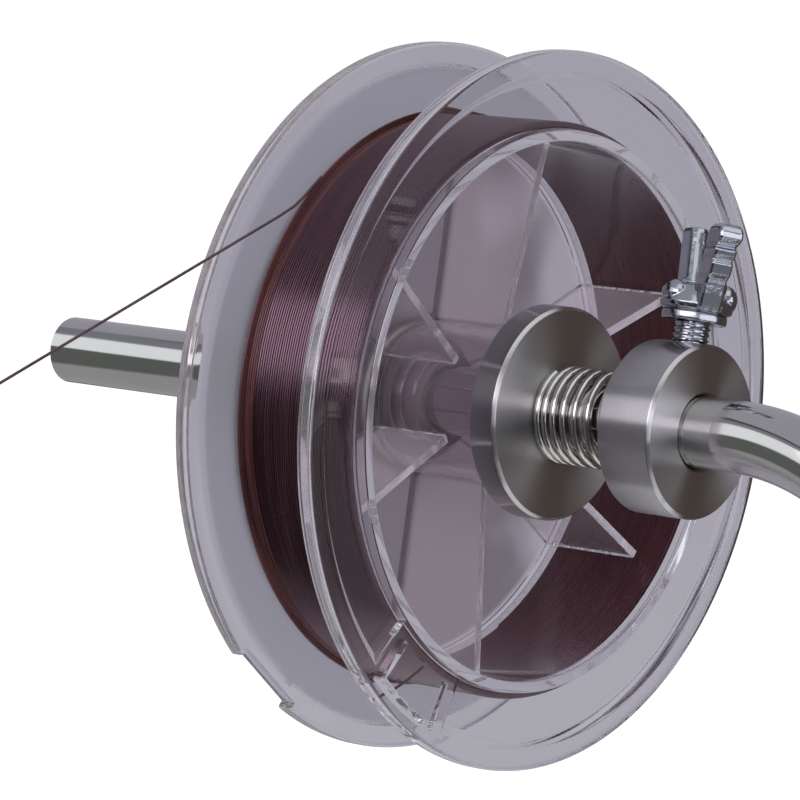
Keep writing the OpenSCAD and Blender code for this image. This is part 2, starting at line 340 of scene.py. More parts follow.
def noise(tree, vector, scale, detail=2.0, rough=0.5):
    inputs = {"Vector": vector, "Scale": scale, "Detail": detail, "Roughness": rough}
    return node(tree, "TexNoise", inputs).outputs["Fac"]


def blank(name):
    made = bpy.data.materials.new(name)
    made.use_nodes = True
    made.node_tree.nodes.clear()
    return made, made.node_tree


def close(tree, shader):
    node(tree, "OutputMaterial", {"Surface": shader})


def position(tree):
    return node(tree, "TexCoord").outputs["Object"]


def stretched(tree, vector, scale):
    return node(tree, "VectorMath", {0: vector, 1: scale}, operation="MULTIPLY").outputs[0]


# Studio: what metal sees by direction, what clear plastic shows and what the camera sees
WHITE = (1, 1, 1, 1)
BACKDROP = (0.375, 0.36, 0.43, 1)
LAVENDER = (0.42, 0.41, 0.47, 1)
NEAR_FLOOR = (0.39, 0.385, 0.39, 1)
DARK = (0.14, 0.15, 0.14, 1)
SOFTBOX = (1.06, 1.10, 1.13, 1)
KEY_BOX = (2.7, 2.5, 2.7, 1)
DIM = (0.26, 0.27, 0.31, 1)
BLACK = (0.05, 0.05, 0.05, 1)
BROWN = (0.095, 0.076, 0.068, 1)
SIDE_BOX = (1.4, 1.4, 1.55, 1)
BLUE = (0.06, 0.065, 0.12, 1)
GREY = (0.23, 0.225, 0.25, 1)
UNDER = (0.8, 0.8, 0.82, 1)
SHADE = (0.045, 0.04, 0.04, 1)
CEILING = (1.0, 1.0, 1.02, 1)
AMBIENT = (0.6, 0.59, 0.62, 1)
NEAR_GROUND = (0.42, 0.41, 0.46, 1)
CAMERA_FLOOR = (0.9, 0.9, 0.9, 1)
PALE_FLOOR = (0.8, 0.8, 0.8, 1)
FAINT_FLOOR = (0.2, 0.2, 0.2, 1)
CENTRE = (-0.06, 0.0, 0.11)
LAMP_AIM = (-0.08, 0, 0.11)
ALL_ROUND = 400


def studio_map(tree, direction):
    """Colour by direction, in degrees: turn is the angle from -X towards -Y, and rise the height.
    A band is its value, its start, its end and how soft they are. Later patches cover earlier ones."""
    parts = node(tree, "SeparateXYZ", {"Vector": direction}).outputs
    rise = calc(tree, "DEGREES", calc(tree, "ARCSINE", parts["Z"]))
    back_x = calc(tree, "MULTIPLY", parts["X"], -1)
    back_y = calc(tree, "MULTIPLY", parts["Y"], -1)
    turn = calc(tree, "DEGREES", calc(tree, "ARCTAN2", back_y, back_x))
    aside = calc(tree, "ABSOLUTE", turn)
    beside_rod = (turn, -3, 72, 2)
    leg_side = (aside, 148, ALL_ROUND, 6)
    patches = [
        (DIM, beside_rod, (rise, 11, 47, 1.5)),
        (BLACK, beside_rod, (rise, 47, 50.5, 0.7)),
        (SOFTBOX, (turn, 12, 72, 4), (rise, 11, 39, 1.5)),
        (KEY_BOX, (turn, 70, 134, 4), (rise, 13, 40, 3)),
        (DARK, (turn, -35, 85, 3), (rise, -22, 11, 1.5)),
        (NEAR_FLOOR, (turn, -100, 75, 4), (rise, -91, -22, 3)),
        (SHADE, (turn, 68, 142, 6), (rise, -91, 6, 3)),
        (DIM, leg_side, (rise, 19, 44, 2)),
        (SIDE_BOX, leg_side, (rise, -8.5, 19, 2)),
        (BLUE, leg_side, (rise, -13, -8.5, 1)),
        (GREY, leg_side, (rise, -32, -13, 2)),
        (UNDER, leg_side, (rise, -91, -32, 3)),
        (BROWN, (turn, -150, -66, 5), (rise, -91, 40, 3)),
        (CEILING, (aside, 100, ALL_ROUND, 8), (rise, 43, 91, 3)),
        (UNDER, (rise, -95, -62, 4)),
    ]
    colour = LAVENDER
    for cover, *bands in patches:
        mask = 1.0
        for limits in bands:
            mask = calc(tree, "MULTIPLY", mask, band(tree, *limits))
        colour = paint(tree, colour, cover, mask)
    return colour


def make_world():
    world = bpy.data.worlds.new("studio")
    bpy.context.scene.world = world
    world.use_nodes = True
    tree = world.node_tree
    tree.nodes.clear()
    direction = node(tree, "TexCoord").outputs["Generated"]
    rays = node(tree, "LightPath").outputs
    colour = paint(tree, AMBIENT, studio_map(tree, direction), rays["Is Glossy Ray"])
    colour = paint(tree, colour, BACKDROP, rays["Is Transmission Ray"])
    colour = paint(tree, colour, WHITE, rays["Is Camera Ray"])
    shader = node(tree, "Background", {"Color": colour, "Strength": 1.0}).outputs[0]
    node(tree, "OutputWorld", {"Surface": shader})


def floor_material():
    """White to the camera with the object's shadow, and the studio's colours to metal and plastic."""
    made, tree = blank("floor")
    rays = node(tree, "LightPath").outputs
    away = node(tree, "VectorMath", {0: position(tree), 1: CENTRE}, operation="SUBTRACT").outputs[0]
    direction = node(tree, "VectorMath", {0: away}, operation="NORMALIZE").outputs[0]
    reach = node(tree, "VectorMath", {0: away}, operation="LENGTH").outputs["Value"]
    ground = paint(tree, NEAR_GROUND, BACKDROP, remap(tree, reach, 0.3, 0.9))
    seen = paint(tree, studio_map(tree, direction), ground, rays["Is Transmission Ray"])
    seen = paint(tree, seen, CAMERA_FLOOR, rays["Is Camera Ray"])
    pale = node(tree, "BsdfDiffuse", {"Color": PALE_FLOOR}).outputs[0]
    faint = node(tree, "BsdfDiffuse", {"Color": FAINT_FLOOR}).outputs[0]
    glow = node(tree, "Emission", {"Color": seen, "Strength": 1.0}).outputs[0]
    shown = node(tree, "AddShader", {0: faint, 1: glow}).outputs[0]
    looked = calc(tree, "MAXIMUM", rays["Is Glossy Ray"], rays["Is Transmission Ray"])
    shader = node(tree, "MixShader", {0: looked, 1: pale, 2: glow}).outputs[0]
    close(tree, node(tree, "MixShader", {0: rays["Is Camera Ray"], 1: shader, 2: shown}).outputs[0])
    return made


def make_floor():
    half = 6000
    corners = [(-half, -half, 0), (half, -half, 0), (half, half, 0), (-half, half, 0)]
    floor = make("floor", corners, [(0, 1, 2, 3)])
    floor.data.transform(Matrix.Scale(MM, 4))
    floor.data.materials.append(floor_material())


def lamp(name, place, size, power, colour=(1, 1, 1)):
    """A square soft lamp that metal and plastic don't mirror."""
    data = bpy.data.lights.new(name, "AREA")
    data.shape = "SQUARE"
    data.size = size
    data.energy = power
    data.color = colour
    made = bpy.data.objects.new(name, data)
    made.location = place
    made.rotation_euler = (Vector(LAMP_AIM) - Vector(place)).to_track_quat("-Z", "Y").to_euler()
    made.visible_glossy = False
    made.visible_transmission = False
    bpy.context.scene.collection.objects.link(made)


def make_lamps():
    lamp("key", (-0.75, -0.95, 0.95), size=0.7, power=9)
    lamp("top", (0.1, 0.2, 1.3), size=0.9, power=6, colour=(1.0, 0.98, 1.0))
    lamp("side", (0.95, -0.35, 0.55), size=0.6, power=4)


# Materials
def metal(name, base, rough, spread, grain, grain_scale, bump, anisotropic=0.0, side_rough=None):
    """Bare metal: roughness varies with a grain, which also gives a fine bump. With side_rough,
    what doesn't face along the shaft has that roughness instead."""
    made, tree = blank(name)
    grains = noise(tree, grain(tree), grain_scale, 4.0, 0.6)

    def vary(middle):
        return remap(tree, grains, 0.25, 0.75, middle - spread, middle + spread)

    cloud = noise(tree, position(tree), 90.0, 3.0)
    darker = [share * 0.93 for share in base[:3]] + [1]
    roughness = vary(rough)
    if side_rough:
        facing = node(tree, "SeparateXYZ", {"Vector": node(tree, "TexCoord").outputs["Normal"]})
        end = remap(tree, calc(tree, "ABSOLUTE", facing.outputs["X"]), 0.8, 0.95)
        side = calc(tree, "MULTIPLY", vary(side_rough), calc(tree, "SUBTRACT", 1.0, end))
        roughness = calc(tree, "ADD", calc(tree, "MULTIPLY", roughness, end), side)
    normal = node(tree, "Bump", {"Height": grains, "Strength": 1.0, "Distance": bump}).outputs[0]
    inputs = {"Base Color": paint(tree, darker, base, cloud), "Metallic": 1.0,
              "Roughness": roughness, "Normal": normal}
    shader = node(tree, "BsdfPrincipled", inputs)
    if anisotropic:
        shader.inputs["Anisotropic"].default_value = anisotropic
        shader.inputs["Anisotropic Rotation"].default_value = 0.25
        way = node(tree, "Tangent", direction_type="RADIAL", axis="X").outputs[0]
        tree.links.new(way, shader.inputs["Tangent"])
    close(tree, shader.outputs[0])
    return made


def rod_grain(tree):
    """Streaks along the bar, from the straightened coordinates kept on its mesh."""
    straight = node(tree, "Attribute", attribute_name="grain").outputs["Vector"]
    return stretched(tree, straight, (1.0, 1.0, 0.02))


def shaft_place(tree):
    """Place along the shaft and distance from it."""
    place = node(tree, "SeparateXYZ", {"Vector": position(tree)}).outputs
    across = calc(tree, "POWER", place["Y"], 2)
    up = calc(tree, "POWER", calc(tree, "SUBTRACT", place["Z"], SHAFT_Z * MM), 2)
    return place["X"], calc(tree, "SQRT", calc(tree, "ADD", across, up))


def lathe_grain(tree):
    """Rings about the shaft: the grain depends on the place along it and the distance from it."""
    along, out = shaft_place(tree)
    fine = stretched(tree, position(tree), (0.0, 0.01, 0.01))
    rings = node(tree, "CombineXYZ", {"X": along, "Y": out}).outputs[0]
    return node(tree, "VectorMath", {0: rings, 1: fine}, operation="ADD").outputs[0]


def plain_grain(tree):
    """The same in all directions."""
    return position(tree)


PLATE_TINT = (0.77, 0.77, 0.81, 1)
INSIDE_TINT = (0.92, 0.85, 0.89, 1)
# The web is tinted darker on its near side than on its far side.
DARK_NEAR_TINT = (0.46, 0.415, 0.44, 1)
BRIGHT_TINT = (0.95, 0.92, 0.95, 1)
PASSED_TINT = (0.9, 0.89, 0.92, 1)
PLATE_HAZE = 0.36
WEB_HAZE = 0.26
RIB_DUST = 0.13
TRAPPED_DEPTH = 9.0


def fade(tree, value, start, end):
    """1 up to start and 0 from end, both in millimetres."""
    return remap(tree, value, start * MM, end * MM, 1.0, 0.0)


def moulding_masks(tree, along, out):
    """Masks of the moulding's plate, its web and ribs, and all that lies inside its barrel."""
    groove_side, pocket_floor = REAR_X + RIM_T, REAR_X + FLANGE_T
    behind = fade(tree, along, groove_side + 0.1, groove_side + 0.4)
    low_side = fade(tree, along, pocket_floor + 0.5, pocket_floor + 1.5)
    plate = band(tree, out, (BARREL_R + 0.3) * MM, (FLANGE_R - RIM_W - 0.5) * MM, 0.0004)
    inside = fade(tree, out, BARREL_IN - 0.5, BARREL_IN - 0.2)
    ribs = calc(tree, "MULTIPLY", inside, calc(tree, "SUBTRACT", 1.0, low_side))
    off_hub = remap(tree, out, (HUB_R + 0.3) * MM, (HUB_R + 0.6) * MM, 0.15, 1.0)
    return (calc(tree, "MULTIPLY", plate, behind), calc(tree, "MULTIPLY", inside, low_side),
            calc(tree, "MULTIPLY", ribs, off_hub), inside)


def web_tint_by_side(tree):
    """The web's tint: darker on the near side and brighter on the far one, with a cloudy border."""
    cloud = noise(tree, position(tree), 55.0, 2.0)
    far = node(tree, "SeparateXYZ", {"Vector": position(tree)}).outputs["Y"]
    cloudy = calc(tree, "MULTIPLY", calc(tree, "SUBTRACT", cloud, 0.5), 0.04)
    border = remap(tree, calc(tree, "ADD", far, cloudy), 0.017, 0.032)
    return paint(tree, DARK_NEAR_TINT, BRIGHT_TINT, border)


def clear_plastic(name, tint, rough, gleam, edge_wear_and_highlight, frosted=False):
    """Clear moulded plastic with scuffs, and a worn edge that is whitened also as a painted highlight of the
    rim.
    It lets lamps light what lies behind it, and lets trapped rays go. The moulding's plate and web are matt,
    and its ribs dusty."""
    made, tree = blank(name)
    waves = noise(tree, position(tree), 45.0, 1.0)
    scuffs = noise(tree, stretched(tree, position(tree), (900.0, 260.0, 420.0)), 1.0, 5.0, 0.7)
    roughness = remap(tree, scuffs, 0.5, 0.9, rough, rough + 0.08)
    along, out = shaft_place(tree)
    # Partly wear, partly a painted highlight: the rim's outer edge lets less light through, so the lamps
    # light it whiter.
    wear_dust_and_highlight = remap(tree, out, (FLANGE_R - 0.55) * MM, (FLANGE_R - 0.1) * MM, 0.0, edge_wear_and_highlight)
    wear_dust_and_highlight = calc(tree, "MULTIPLY", wear_dust_and_highlight, remap(tree, scuffs, 0.35, 0.6, 0.6, 1.0))
    if frosted:
        plate, web, ribs, inside = moulding_masks(tree, along, out)
        hazy_plate = calc(tree, "MULTIPLY", plate, PLATE_HAZE)
        hazy_web = calc(tree, "MULTIPLY", web, WEB_HAZE)
        roughness = calc(tree, "ADD", roughness, calc(tree, "ADD", hazy_plate, hazy_web))
        wear_dust_and_highlight = calc(tree, "ADD", wear_dust_and_highlight, calc(tree, "MULTIPLY", ribs, RIB_DUST))
        tint = paint(tree, tint, PLATE_TINT, plate)
        tint = paint(tree, tint, INSIDE_TINT, inside)
        tint = paint(tree, tint, web_tint_by_side(tree), web)
    swell = node(tree, "Bump", {"Height": waves, "Strength": 0.2, "Distance": 0.0002}).outputs[0]
    inputs = {"Base Color": tint, "Roughness": roughness, "Normal": swell, "IOR": 1.5,
              "Specular Tint": gleam, "Transmission Weight": calc(tree, "SUBTRACT", 1.0, wear_dust_and_highlight)}
    solid = node(tree, "BsdfPrincipled", inputs).outputs[0]
    through = node(tree, "BsdfTransparent", {"Color": PASSED_TINT}).outputs[0]
    rays = node(tree, "LightPath").outputs
    trapped = calc(tree, "GREATER_THAN", rays["Ray Depth"], TRAPPED_DEPTH)
    passed = calc(tree, "MAXIMUM", rays["Is Shadow Ray"], trapped)
    close(tree, node(tree, "MixShader", {0: passed, 1: solid, 2: through}).outputs[0])
    return made


RED_GLEAM = (1.0, 0.66, 0.84, 1)


def line_material(name, dark, light, rough, shine, ior=1.53):
    """Translucent dark red nylon, its tone varying from turn to turn."""
    made, tree = blank(name)
    patches = noise(tree, stretched(tree, position(tree), (2500.0, 60.0, 60.0)), 1.0, 2.0)
    tone = paint(tree, dark, light, remap(tree, patches, 0.3, 0.7))
    roughness = remap(tree, patches, 0.3, 0.7, rough, rough + 0.08)
    inputs = {"Base Color": tone, "Roughness": roughness, "IOR": ior,
              "Specular IOR Level": shine, "Specular Tint": RED_GLEAM}
    close(tree, node(tree, "BsdfPrincipled", inputs).outputs[0])
    return made


def nylon_material():
    made, tree = blank("natural_nylon")
    speck = noise(tree, position(tree), 800.0, 3.0)
    tone = paint(tree, (0.74, 0.73, 0.69, 1), (0.84, 0.83, 0.80, 1), speck)
    inputs = {"Base Color": tone, "Roughness": 0.5, "Subsurface Weight": 0.1, "Subsurface Scale": 0.001}
    close(tree, node(tree, "BsdfPrincipled", inputs).outputs[0])
    return made


# Cord: the line that leaves the spool, held taut by its loop outside the view
LINE_ROUTE = [
    (LINE_X, -23.98, 143.5), (LINE_X, -25.6, 142.4), (LINE_X, -27.5, 141.1), (LINE_X, -29.6, 139.9),
    (LINE_X, -32.6, 138.82), (LINE_X, -50, 133.31), (LINE_X, -68, 127.61), (LINE_X, -88.6, 121.09)]
LINE_STEPS = 3
KNOT_R = 0.75
KNOT_L = 2.4
LOOP_R = 4.0
LOOP_TAPER = 0.25


def route_points():
    """The route with points in between, in millimetres."""
    marks = [Vector(p) for p in LINE_ROUTE]
    points = [a.lerp(b, k / LINE_STEPS) for a, b in zip(marks, marks[1:]) for k in range(LINE_STEPS)]
    return points + [marks[-1]]


def make_run(points, material):
    """The line itself, a curve through the points."""
    curve = bpy.data.curves.new("line_run", "CURVE")
    curve.dimensions = "3D"
    curve.bevel_depth = LINE_R * MM
    curve.bevel_resolution = 4
    curve.use_fill_caps = True
    spline = curve.splines.new("POLY")
    spline.points.add(len(points) - 1)
    for spot, point in zip(spline.points, points):
        spot.co = (*(point * MM), 1)
    run = bpy.data.objects.new("line_run", curve)
    bpy.context.scene.collection.objects.link(run)
    return settle(run, material, ["free_line"], "root")


def make_knot(points, material):
    """The wraps of a knot at the line's far end, and the loop beyond it."""
    tip = points[-1]
    along = (tip - points[-2]).normalized()
    side = Vector((1, 0, 0))
    across = along.cross(side)
    coils, per_coil = 4, 16
    wraps = []
    for i in range(coils * per_coil + 1):
        angle = TURN * i / per_coil
        out = (KNOT_R - LINE_R) * (math.cos(angle) * side + math.sin(angle) * across)
        wraps.append(tip + along * (LINE_R + (KNOT_L - 2 * LINE_R) * i / (coils * per_coil)) + out)
    core = [tip - along * LINE_R, tip + along * KNOT_L * 1.02]
    centre = tip + along * (KNOT_L + LOOP_R)
    steps = 64
    ring = []
    for i in range(steps):
        angle = TURN * i / steps
        squeeze = 1 - LOOP_TAPER * (1 - math.cos(angle)) / 2
        wide = across * LOOP_R * math.sin(angle) * squeeze
        ring.append(centre - along * LOOP_R * math.cos(angle) + wide)
    pieces = [make("wraps", *tube_mesh(wraps, LINE_R, 10)),
              make("knot_core", *tube_mesh(core, KNOT_R - LINE_R, 12)),
              make("loop", *tube_mesh(ring, LINE_R, 10, closed=True))]
    return settle(join("line_knot", pieces), material, ["line_end_loop"], "root")


def make_free_line(material):
    points = route_points()
    run = make_run(points, material)
    knot = make_knot(points, material)


# Rod
def make_rod(material):
    """The bent bar, with the straightened coordinates of its surface kept for its grain."""
    chamfer, sides = 0.5, 96
    straight, bend, leg = 24, 64, 10
    start, leg_top = ROD_END_X + chamfer, SHAFT_Z - BEND_R
    path = [Vector((ROD_END_X, 0, SHAFT_Z)), Vector((start, 0, SHAFT_Z))]
    for i in range(1, straight + 1):
        path.append(Vector((start + (-BEND_R - ROD_END_X - chamfer) * i / straight, 0, SHAFT_Z)))
    for i in range(1, bend + 1):
        angle = QUARTER * i / bend
        path.append(Vector((-BEND_R + BEND_R * math.sin(angle), 0, leg_top + BEND_R * math.cos(angle))))
    for i in range(1, leg + 1):
        path.append(Vector((0, 0, chamfer + (leg_top - chamfer) * (1 - i / leg))))
    path.append(Vector((0, 0, 0)))
    radii = [ROD_R - chamfer] + [ROD_R] * (len(path) - 2) + [ROD_R - chamfer]
    rod = make("rod", *tube_mesh(path, radii, sides, [Vector((0, 1, 0))] * len(path)))
    grain = rod.data.attributes.new("grain", "FLOAT_VECTOR", "POINT")
    gone = 0.0
    for i, point in enumerate(path):
        gone += (point - path[i - 1]).length if i else 0.0
        for k in range(sides):
            angle = TURN * k / sides
            straightened = (ROD_R * math.cos(angle), ROD_R * math.sin(angle), gone)
            grain.data[i * sides + k].vector = straightened
    settle(rod, material, ["bent_rod"], "root")


# Spool
SPOOL_SEGMENTS = 240
RIM_FILLET = 0.7
RIB_COUNT = 6
RIB_ANGLE = math.radians(48.5)
RIB_T = 1.3
RIB_DROP = 7.0
RIB_FALL = 3.2
RIB_SINK = 0.6
NOTCH_ANGLE = math.radians(-44.2)
NOTCH_W = 13.4
NOTCH_DEPTH = 1.75


def radial(angle):
    """Matrix to a clock angle: x stays along the shaft, y points outward and z across."""
    out = Vector((0, math.sin(angle), -math.cos(angle)))
    across = Vector((1, 0, 0)).cross(out)
    return Matrix(((1, out.x, across.x, 0), (0, out.y, across.y, 0),
                   (0, out.z, across.z, SHAFT_Z), (0, 0, 0, 1)))


def radial_bar(name, angle, width, inner, outer, x0, x1):
    """A straight bar at a clock angle, between two radii and two places along the shaft."""
    return slab(name, [(x0, inner), (x1, inner), (x1, outer), (x0, outer)], width, radial(angle))


def make_rib(angle):
    """A rib that falls towards the hub tube, sunk into what it stands on."""
    base, top = REAR_X + FLANGE_T - RIB_SINK, FRONT_X - RIB_DROP
    outline = [(base, HUB_R - RIB_SINK), (base, BARREL_IN + RIB_SINK), (top, BARREL_IN + RIB_SINK),
               (top, BARREL_IN), (top - RIB_FALL, HUB_R), (top - RIB_FALL, HUB_R - RIB_SINK)]
    rib = slab("rib", outline, RIB_T, radial(angle))
    bevel(rib, 0.2)
    return rib


def make_moulding(material):
    """Rear flange, barrel, web, hub tube, sleeve and ribs as one moulding."""
    edge, root = 0.25, 0.4
    groove_side, pocket_floor, hub_in = REAR_X + RIM_T, REAR_X + FLANGE_T, HUB_R - HUB_WALL
    plate_back = groove_side - FLANGE_T
    outline = rounded([
        (REAR_X, BORE_R, edge), (REAR_X, BARREL_R, edge), (plate_back, BARREL_R, root),
        (plate_back, FLANGE_R - RIM_W - RIM_SLOPE, root), (REAR_X, FLANGE_R - RIM_W, edge),
        (REAR_X, FLANGE_R, RIM_FILLET), (groove_side, FLANGE_R, RIM_FILLET), (groove_side, BARREL_R, 0),
        (FRONT_X, BARREL_R, edge), (FRONT_X, BARREL_IN, edge), (pocket_floor, BARREL_IN, root),
        (pocket_floor, HUB_R, root), (HUB_END_X, HUB_R, edge), (HUB_END_X, hub_in, edge),
        (pocket_floor, hub_in, root), (pocket_floor, SLEEVE_R, root),
        (SLEEVE_END_X, SLEEVE_R, edge), (SLEEVE_END_X, BORE_R, edge)])
    body = lathe("spool_moulding", outline, SPOOL_SEGMENTS)
    for i in range(RIB_COUNT):
        combine(body, make_rib(RIB_ANGLE + TURN * i / RIB_COUNT), "UNION")
    notch = radial_bar("notch", NOTCH_ANGLE, NOTCH_W, FLANGE_R - NOTCH_DEPTH, FLANGE_R + LONG_CUT,
                       REAR_X - OVERCUT, groove_side + OVERCUT)
    combine(body, notch, "DIFFERENCE")
    nodes = ["spool_rear_flange", "spool_barrel", "spool_web", "spool_hub_tube", "spool_ribs"]
    settle(body, material, nodes, "spool", 38, True)


SLIT_ANGLE = math.radians(-48.2)
GROOVE_ANGLE = math.radians(-33)
SLIT_W = 1.0
SLIT_L = 7.0


def sector(name, start, end, inner, outer, x0, x1):
    """A block between two clock angles and two radii."""
    steps = 16
    verts, faces = [], []
    for k in range(steps + 1):
        angle = start + (end - start) * k / steps
        verts += [clock(x, r, angle) for x, r in ((x0, inner), (x1, inner), (x1, outer), (x0, outer))]
    for k in range(steps):
        for i in range(4):
            j = (i + 1) % 4
            faces.append((k * 4 + i, k * 4 + j, k * 4 + 4 + j, k * 4 + 4 + i))
    faces += [(0, 1, 2, 3), tuple(steps * 4 + i for i in range(4))]
    return make(name, verts, faces)


def make_front_flange(material):
    """The clear ring at the front, with the line's clip: a pad with a slit, an arc and a groove."""
    edge, root, fit_gap, pad_side = 0.2, 0.4, 0.03, math.radians(3.4)
    back, inner = FRONT_X - RIM_T, BARREL_R + fit_gap
    plate = back + FLANGE_T
    body = lathe("front_flange", rounded([
        (back, inner, edge), (plate, inner, edge), (plate, FLANGE_R - RIM_W - RIM_SLOPE, root),
        (FRONT_X, FLANGE_R - RIM_W, edge), (FRONT_X, FLANGE_R, RIM_FILLET),
        (back, FLANGE_R, RIM_FILLET)]), SPOOL_SEGMENTS)
    pad = sector("pad", SLIT_ANGLE - pad_side, GROOVE_ANGLE + pad_side, inner,
                 FLANGE_R - RIM_W / 2, back, FRONT_X)
    bevel(pad, 0.2)
    combine(body, pad, "UNION")
    start = BARREL_R + 2 * SLIT_W
    end = start + SLIT_L
    x0, x1 = back - OVERCUT, FRONT_X + OVERCUT
    arc_end = GROOVE_ANGLE - SLIT_W / start
    for cut in (radial_bar("slit", SLIT_ANGLE, SLIT_W, start, end, x0, x1),
                sector("arc", SLIT_ANGLE, arc_end, end - SLIT_W, end, x0, x1),
                radial_bar("groove", GROOVE_ANGLE, SLIT_W, start, end, FRONT_X - RIM_T / 3, x1)):
        combine(body, cut, "DIFFERENCE")
    settle(body, material, ["spool_front_flange"], "spool", 38, True)


# Winding
GROOVE_X0 = REAR_X + RIM_T
GROOVE_X1 = FRONT_X - RIM_T
CORE_STRIP = 2.5
LINE_PITCH = 0.41
LOWER_R = BARREL_R + 0.03 + LINE_R
OUTER_R = radius("line_top_layer") - LINE_R


def outward(angle):
    """Direction away from the shaft at a clock angle."""
    return clock(0, 1, angle) - clock(0, 0, angle)


def winding(name, x0, x1, ring_r, turns, start, seed, wander):
    """Turns of line side by side, each a little off its place."""
    rng = random.Random(seed)
    steps, sides = 96, 8
    waves = [(rng.uniform(0.5, 6.0), rng.uniform(0, TURN), rng.uniform(0.4, 1.0)) for _ in range(7)]
    shifts = [rng.uniform(-1, 1) for _ in range(turns + 3)]
    points, refs = [], []
    for i in range(turns * steps + 1):
        t = i / steps
        angle = start + TURN * t
        near = int(t)
        mix = t - near
        own = shifts[near] * (1 - mix) + shifts[near + 1] * mix
        drift = sum(size * math.sin(rate * TURN * t / 9 + phase) for rate, phase, size in waves) / len(waves)
        ends = min(1.0, t, turns - t)
        x = x0 + (x1 - x0) * t / turns + wander * own * ends * 0.6
        r = ring_r + wander * (0.5 * drift - 0.3 * abs(own)) * ends
        points.append(clock(x, r, angle))
        refs.append(outward(angle))
    return make(name, *tube_mesh(points, LINE_R, sides, refs))


def edge_turn(rise):
    """A single turn that lies loose at the rear edge."""
    angles = [TURN * k / 128 for k in range(128)]
    points = [clock(LINE_X, LOWER_R + rise + LINE_R, angle) for angle in angles]
    return make("edge_turn", *tube_mesh(points, LINE_R, 8, [outward(a) for a in angles], closed=True))


def make_line(painted_light_inner_material, edge_material, painted_dark_outer_material):
    """The lower turns, the loose turns at the rear edge, and the outer turns on a filled body."""
    side_gap = 0.02
    turns = int((GROOVE_X1 - GROOVE_X0 - 2 * LINE_R) / LINE_PITCH)
    lower = winding("lower", GROOVE_X0 + LINE_R + side_gap, GROOVE_X1 - LINE_R - side_gap, LOWER_R,
                    turns, start=0.4, seed=3, wander=0.03)
    x0 = GROOVE_X0 + CORE_STRIP + LINE_R
    x1 = GROOVE_X1 - LINE_R - 0.05
    outer_r, fill_r = OUTER_R - 0.02, LOWER_R + LINE_R * 0.6
    outer = winding("outer", x0, x1, outer_r, int((x1 - x0) / LINE_PITCH), start=2.4, seed=5, wander=0.035)
    fill_x0, fill_x1 = x0 - LINE_R * 0.5, x1 + LINE_R * 0.5
    fill = lathe("fill", rounded([(fill_x0, fill_r, 0), (fill_x1, fill_r, 0),
                                  (fill_x1, outer_r, 0.15), (fill_x0, outer_r, 0.15)]))
    turns = int((CORE_STRIP - 0.2) / LINE_PITCH)
    strip = winding("strip", GROOVE_X0 + LINE_R + 0.1, x0 - 2 * LINE_R, LOWER_R + 0.36, turns,
                    start=1.0, seed=8, wander=0.04)
    rings = [edge_turn(rise) for rise in (0.3, 0.65, 1.0)]
    # The lower turns take the nylon painted lighter, and the outer turns the nylon painted darker.
    settle(lower, painted_light_inner_material, ["line_core"], "spool").name = "line_lower_turns"
    loose = join("line_edge_turns", [strip] + rings)
    settle(loose, edge_material, ["line_core"], "spool")
    layer = join("line_outer_turns", [fill, outer])
    settle(layer, painted_dark_outer_material, ["line_top_layer"], "spool")


def make_tuck(material):
    """The inner end of the line, caught in the slit of the clip."""
    shares = [0.02, 0.17, 0.36, 0.55, 0.78]
    angles = [-38.0, -39.2, -40.6, -42.2, -44.3]
    inset = 0.7
    steps = 6
    inner = OUTER_R + 2 * LINE_R
    marks = [clock(FRONT_X - RIM_T - inset, inner + (FLANGE_R - OUTER_R) * share, math.radians(angle))
             for share, angle in zip(shares, angles)]
    points = [a.lerp(b, k / steps) for a, b in zip(marks, marks[1:]) for k in range(steps)]
    tuck = make("line_tuck", *tube_mesh(*domed(points + [marks[-1]], LINE_R), 10))
    settle(tuck, material, ["line_tucked_end"], "spool")


# Brake
STEEL_EDGE = 0.45


def turned_ring(name, x0, x1, outer, inner, chamfer, mouth=0.0):
    """A turned disc or collar with chamfered rims. A mouth is a chamfer of the bore at x1."""
    fine = 0.06
    corners = [(x0, inner), (x0, outer - chamfer), (x0 + chamfer, outer), (x1 - chamfer, outer),
               (x1, outer - chamfer)]
    corners += [(x1, inner + mouth), (x1 - mouth, inner)] if mouth else [(x1, inner)]
    return lathe(name, rounded([(x, r, fine) for x, r in corners], 3))


def make_disc(material):
    disc = turned_ring("disc", DISC_X, DISC_END_X, radius("pressure_disc"), BORE_R, STEEL_EDGE)
    settle(disc, material, ["pressure_disc"], "pressure_plate", 20, True)


def make_collar(material):
    collar = turned_ring("brake_collar", COLLAR_X, COLLAR_END_X, COLLAR_R, BORE_R, STEEL_EDGE, 0.45)
    points = [on_bolt(0, 0, 0), on_bolt(0, 0, COLLAR_R + LONG_CUT)]
    hole = make("hole", *tube_mesh(points, TAPPED_R, 48))
    combine(collar, hole, "DIFFERENCE")
    settle(collar, material, ["tension_collar"], "collar", 20, True)


def on_bolt(x, y, z):
    """A point in the bolt's own frame: z outward along the bolt, x along the shaft."""
    turned = Matrix.Rotation(-BOLT_LEAN, 3, "X") @ Vector((x, y, z))
    return Vector((BOLT_X, 0, SHAFT_Z)) + turned


SPRING_WIRE = 0.55
SPRING_D = 14.0
SPRING_R = (SPRING_D - 2 * SPRING_WIRE) / 2
SPRING_TURNS = 7.4
SPRING_START = math.radians(200)
FACE_GAP = 0.05


def spring_points():
    """Centre line from the disc to the collar: close curls at the disc that open towards the collar."""
    x0 = DISC_END_X + FACE_GAP + SPRING_WIRE
    x1 = COLLAR_X - FACE_GAP - SPRING_WIRE
    steps = 32
    count = int(SPRING_TURNS * steps)
    close_rise, more_per_turn, opening_turns = 1.15, 0.27, 5.2
    rises = [close_rise + more_per_turn * min(i / steps, opening_turns) for i in range(count)]
    scale = (x1 - x0) / sum(rises)
    x, points = x0, []
    for i in range(count + 1):
        points.append(clock(x, SPRING_R, SPRING_START + TURN * i / steps))
        if i < count:
            x += rises[i] * scale
    return points


